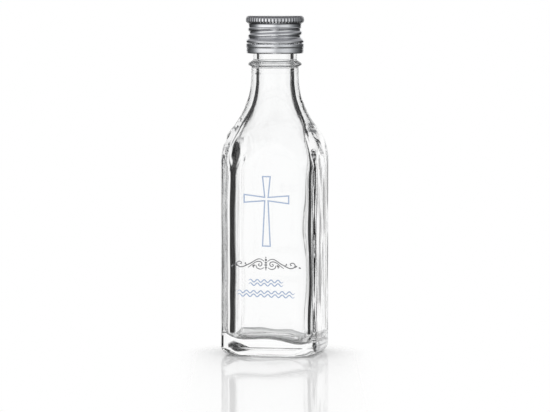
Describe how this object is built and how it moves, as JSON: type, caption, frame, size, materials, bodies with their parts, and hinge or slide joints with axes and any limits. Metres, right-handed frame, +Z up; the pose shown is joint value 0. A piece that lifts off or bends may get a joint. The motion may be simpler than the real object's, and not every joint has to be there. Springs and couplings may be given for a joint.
{
  "type": "holy water bottle",
  "caption": "Small square clear glass bottle with round shoulders, a slim neck and an unscrewing knurled aluminium cap with a tamper band, for holy water.",
  "frame": {"origin": "middle of the base, on the surface that the bottle stands on", "axes": "+Z up the neck, -Y out of the printed front face, +X to the right of that face"},
  "size_m": [0.0308, 0.0308, 0.1068],
  "materials": {
    "clear_glass": "clear polished flint glass",
    "cap_aluminium": "bright rolled aluminium",
    "liner_foam": "matt foamed polyethylene"
  },
  "bodies": {
    "bottle": {"glass_bottle": "clear_glass"},
    "liner": {"cap_liner": "liner_foam"},
    "cap": {"cap_shell": "cap_aluminium"},
    "band": {"tamper_band": "cap_aluminium"}
  },
  "joints": [
    {"name": "cap_lift", "type": "slide", "parent": "bottle", "child": "liner", "axis": [0, 0, 1], "range_m": [0, 0.0084]},
    {"name": "cap_turn", "type": "hinge", "parent": "liner", "child": "cap", "pos_m": [0, 0, 0.1], "axis": [0, 0, 1], "range_deg": [0, 1440]},
    {"name": "band_drop", "type": "slide", "parent": "bottle", "child": "band", "axis": [0, 0, -1], "range_m": [0, 0.0026]}
  ],
  "couplings": [
    {"joint": "cap_turn", "follows": "cap_lift", "rad_per_m": 2992}
  ]
}
